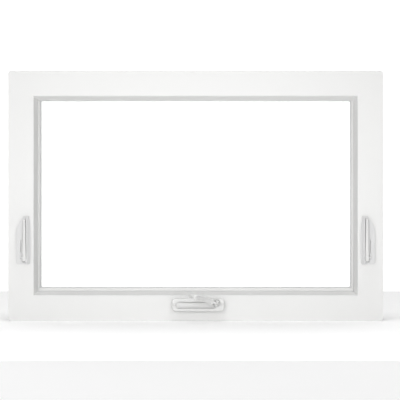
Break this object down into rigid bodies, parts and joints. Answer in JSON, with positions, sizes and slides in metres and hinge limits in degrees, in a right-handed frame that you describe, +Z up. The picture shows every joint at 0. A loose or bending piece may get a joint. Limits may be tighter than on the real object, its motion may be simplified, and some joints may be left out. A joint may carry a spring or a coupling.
{
  "type": "awning window with crank operator",
  "caption": "White vinyl awning window: hollow frame, double-glazed sash on four-bar hinges, worm-driven scissor operator with folding crank, and a cam lock on each jamb.",
  "frame": {"origin": "middle of the underside of the sill, half way through the frame's depth", "axes": "+Z up, +X to the right seen from the room, -Y towards the room, +Y towards the weather"},
  "size_m": [0.914, 0.1822, 0.61],
  "materials": {
    "vinyl": "extruded, satin",
    "cover_plastic": "injection moulded, satin",
    "enamel": "powder coated, satin",
    "weatherstrip": "matte",
    "seal": "matte",
    "glass": "float glass, clear",
    "spacer": "mill finish",
    "die_cast": "die cast zinc",
    "steel": "zinc plated, stamped",
    "bronze": "sintered",
    "shoe": "moulded nylon"
  },
  "bodies": {
    "frame": {"frame_sill": "vinyl", "frame_head": "vinyl", "frame_jamb_left": "vinyl", "frame_jamb_right": "vinyl", "weatherstrip": "weatherstrip", "hinge_tracks": "steel", "hinge_screws": "steel", "operator_base": "die_cast", "operator_cover": "cover_plastic", "cover_caps": "cover_plastic", "operator_screws": "steel", "gear_pivots": "steel", "worm_bushings": "bronze", "lock_plate_left": "cover_plastic", "lock_plate_right": "cover_plastic", "lock_housing_left": "die_cast", "lock_housing_right": "die_cast", "lock_pins": "steel", "lock_screws": "steel"},
    "support_arm_left": {"hinge_arm_left": "steel"},
    "support_arm_right": {"hinge_arm_right": "steel"},
    "sash": {"sash_top_rail": "vinyl", "sash_bottom_rail": "vinyl", "sash_stile_left": "vinyl", "sash_stile_right": "vinyl", "bead_top": "vinyl", "bead_bottom": "vinyl", "bead_left": "vinyl", "bead_right": "vinyl", "glass_inner": "glass", "glass_outer": "glass", "glass_spacer": "spacer", "glazing_seals": "seal", "setting_blocks": "seal", "sash_bracket": "steel", "ball_studs": "steel", "sash_screws": "steel", "lock_keepers": "steel", "hinge_sash_bars": "steel"},
    "shoe_left": {"hinge_shoe_left": "shoe"},
    "shoe_right": {"hinge_shoe_right": "shoe"},
    "crank": {"worm_shaft": "steel", "crank_hub": "enamel", "crank_pin": "steel"},
    "handle": {"crank_arm": "enamel", "knob_rivet": "enamel"},
    "knob": {"crank_knob": "cover_plastic"},
    "gear_left": {"drive_gear_left": "steel", "drive_arm_left": "steel", "elbow_rivet_left": "steel"},
    "gear_right": {"drive_gear_right": "steel", "drive_arm_right": "steel", "elbow_rivet_right": "steel"},
    "link_left": {"link_left": "steel"},
    "link_right": {"link_right": "steel"},
    "lever_left": {"lock_lever_left": "enamel"},
    "lever_right": {"lock_lever_right": "enamel"},
    "hook_left": {"lock_hook_left": "steel"},
    "hook_right": {"lock_hook_right": "steel"}
  },
  "joints": [
    {"name": "sash_open", "type": "hinge", "parent": "frame", "child": "support_arm_left", "pos_m": [-0.41175, -0.01, 0.05485], "axis": [-1, 0, 0], "range_deg": [0, 45]},
    {"name": "sash_tilt", "type": "hinge", "parent": "support_arm_left", "child": "sash", "pos_m": [-0.41175, -0.01, 0.30242], "axis": [1, 0, 0], "range_deg": [0, 90]},
    {"name": "support_right", "type": "hinge", "parent": "frame", "child": "support_arm_right", "pos_m": [0.41175, -0.01, 0.05485], "axis": [-1, 0, 0], "range_deg": [0, 45]},
    {"name": "shoe_pivot_left", "type": "hinge", "parent": "sash", "child": "shoe_left", "pos_m": [-0.421, -0.01, 0.55], "axis": [-1, 0, 0], "range_deg": [0, 45]},
    {"name": "shoe_pivot_right", "type": "hinge", "parent": "sash", "child": "shoe_right", "pos_m": [0.421, -0.01, 0.55], "axis": [-1, 0, 0], "range_deg": [0, 45]},
    {"name": "gear_turn_right", "type": "hinge", "parent": "frame", "child": "gear_right", "pos_m": [0.0228, -0.01, 0.045], "axis": [0, 0, 1], "range_deg": [0, 45]},
    {"name": "gear_turn_left", "type": "hinge", "parent": "frame", "child": "gear_left", "pos_m": [-0.0228, -0.01, 0.045], "axis": [0, 0, 1], "range_deg": [-45, 0]},
    {"name": "elbow_right", "type": "hinge", "parent": "gear_right", "child": "link_right", "pos_m": [0.27037, -0.01, 0.05485], "axis": [0, 0, 1], "range_deg": [-90, 0]},
    {"name": "elbow_left", "type": "hinge", "parent": "gear_left", "child": "link_left", "pos_m": [-0.27037, -0.01, 0.05485], "axis": [0, 0, 1], "range_deg": [0, 90]},
    {"name": "crank_turn", "type": "hinge", "parent": "frame", "child": "crank", "pos_m": [0.05095, -0.01, 0.045], "axis": [0, 1, 0], "range_deg": [0, 2160]},
    {"name": "handle_fold", "type": "hinge", "parent": "crank", "child": "handle", "pos_m": [0.05095, -0.0705, 0.045], "axis": [0.342, 0, 0.9397], "range_deg": [-30, 60]},
    {"name": "knob_spin", "type": "hinge", "parent": "handle", "child": "knob", "pos_m": [-0.00984, -0.11925, 0.06713], "axis": [-0.5655, 0.7986, 0.2058], "continuous": true},
    {"name": "lever_turn_left", "type": "hinge", "parent": "frame", "child": "lever_left", "pos_m": [-0.417, -0.0465, 0.155], "axis": [1, 0, 0], "range_deg": [0, 150]},
    {"name": "hook_turn_left", "type": "hinge", "parent": "frame", "child": "hook_left", "pos_m": [-0.40675, -0.0275, 0.163], "axis": [1, 0, 0], "range_deg": [-60, 0]},
    {"name": "lever_turn_right", "type": "hinge", "parent": "frame", "child": "lever_right", "pos_m": [0.417, -0.0465, 0.155], "axis": [1, 0, 0], "range_deg": [0, 150]},
    {"name": "hook_turn_right", "type": "hinge", "parent": "frame", "child": "hook_right", "pos_m": [0.40675, -0.0275, 0.163], "axis": [1, 0, 0], "range_deg": [-60, 0]}
  ],
  "couplings": [
    {"joint": "sash_tilt", "follows": "sash_open", "ratio": 2},
    {"joint": "support_right", "follows": "sash_open", "ratio": 1},
    {"joint": "shoe_pivot_left", "follows": "sash_open", "ratio": 1},
    {"joint": "shoe_pivot_right", "follows": "sash_open", "ratio": 1},
    {"joint": "gear_turn_right", "follows": "sash_open", "ratio": 1},
    {"joint": "gear_turn_left", "follows": "sash_open", "ratio": -1},
    {"joint": "elbow_right", "follows": "sash_open", "ratio": -2},
    {"joint": "elbow_left", "follows": "sash_open", "ratio": 2},
    {"joint": "crank_turn", "follows": "sash_open", "ratio": 48},
    {"joint": "hook_turn_left", "follows": "lever_turn_left", "ratio": -0.4},
    {"joint": "hook_turn_right", "follows": "lever_turn_right", "ratio": -0.4}
  ]
}
